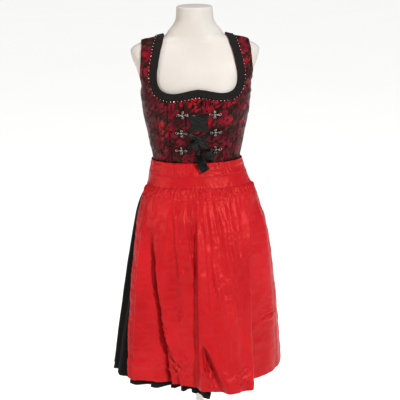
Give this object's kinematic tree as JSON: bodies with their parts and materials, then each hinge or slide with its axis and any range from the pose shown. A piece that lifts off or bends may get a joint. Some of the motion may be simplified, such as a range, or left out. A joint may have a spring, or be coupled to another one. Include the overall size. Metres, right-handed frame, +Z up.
{
  "type": "dirndl on a dress form",
  "caption": "Sleeveless dirndl with laced jacquard bodice, black pleated skirt and gathered red apron, on a limbless white dress form with a round stand.",
  "frame": {"origin": "centre of the underside of the round stand plate, on the floor", "axes": "+Z up along the pole; the front of the dress faces -Y; +X is on the right of someone who looks at the front"},
  "size_m": [0.5527, 0.4915, 1.4927],
  "materials": {
    "stand": "satin",
    "form": "satin",
    "jacquard": "woven jacquard, soft sheen",
    "trim": "matt braid",
    "skirt": "matt plain weave",
    "apron": "taffeta with a soft sheen",
    "hooks": "antique silver",
    "ribbon": "satin"
  },
  "bodies": {
    "root": {"stand_base": "stand", "stand_pole": "stand", "form_torso": "form", "bodice_front_centre": "jacquard", "bodice_front_inner_left": "jacquard", "bodice_front_inner_right": "jacquard", "bodice_front_outer_left": "jacquard", "bodice_front_outer_right": "jacquard", "bodice_back_side_left": "jacquard", "bodice_back_side_right": "jacquard", "bodice_back_centre": "jacquard", "neck_trim_front": "trim", "neck_trim_back": "trim", "skirt_back_left": "skirt", "skirt_side_left": "skirt", "skirt_front": "skirt", "skirt_side_right": "skirt", "skirt_back_right": "skirt", "apron_panel": "apron", "apron_yoke": "apron", "apron_band": "apron", "apron_tie_left": "apron", "apron_tie_right": "apron", "apron_bow_knot": "apron", "apron_bow_loop_left": "apron", "apron_bow_loop_right": "apron", "apron_bow_tail_left": "apron", "apron_bow_tail_right": "apron", "hook_1_left": "hooks", "hook_1_right": "hooks", "hook_2_left": "hooks", "hook_2_right": "hooks", "hook_3_left": "hooks", "hook_3_right": "hooks", "ribbon_cross_upper_under": "ribbon", "ribbon_cross_upper_over": "ribbon", "ribbon_cross_lower_under": "ribbon", "ribbon_cross_lower_over": "ribbon", "ribbon_knot": "ribbon", "ribbon_loop_left": "ribbon", "ribbon_loop_right": "ribbon", "ribbon_end": "ribbon"}
  },
  "joints": []
}
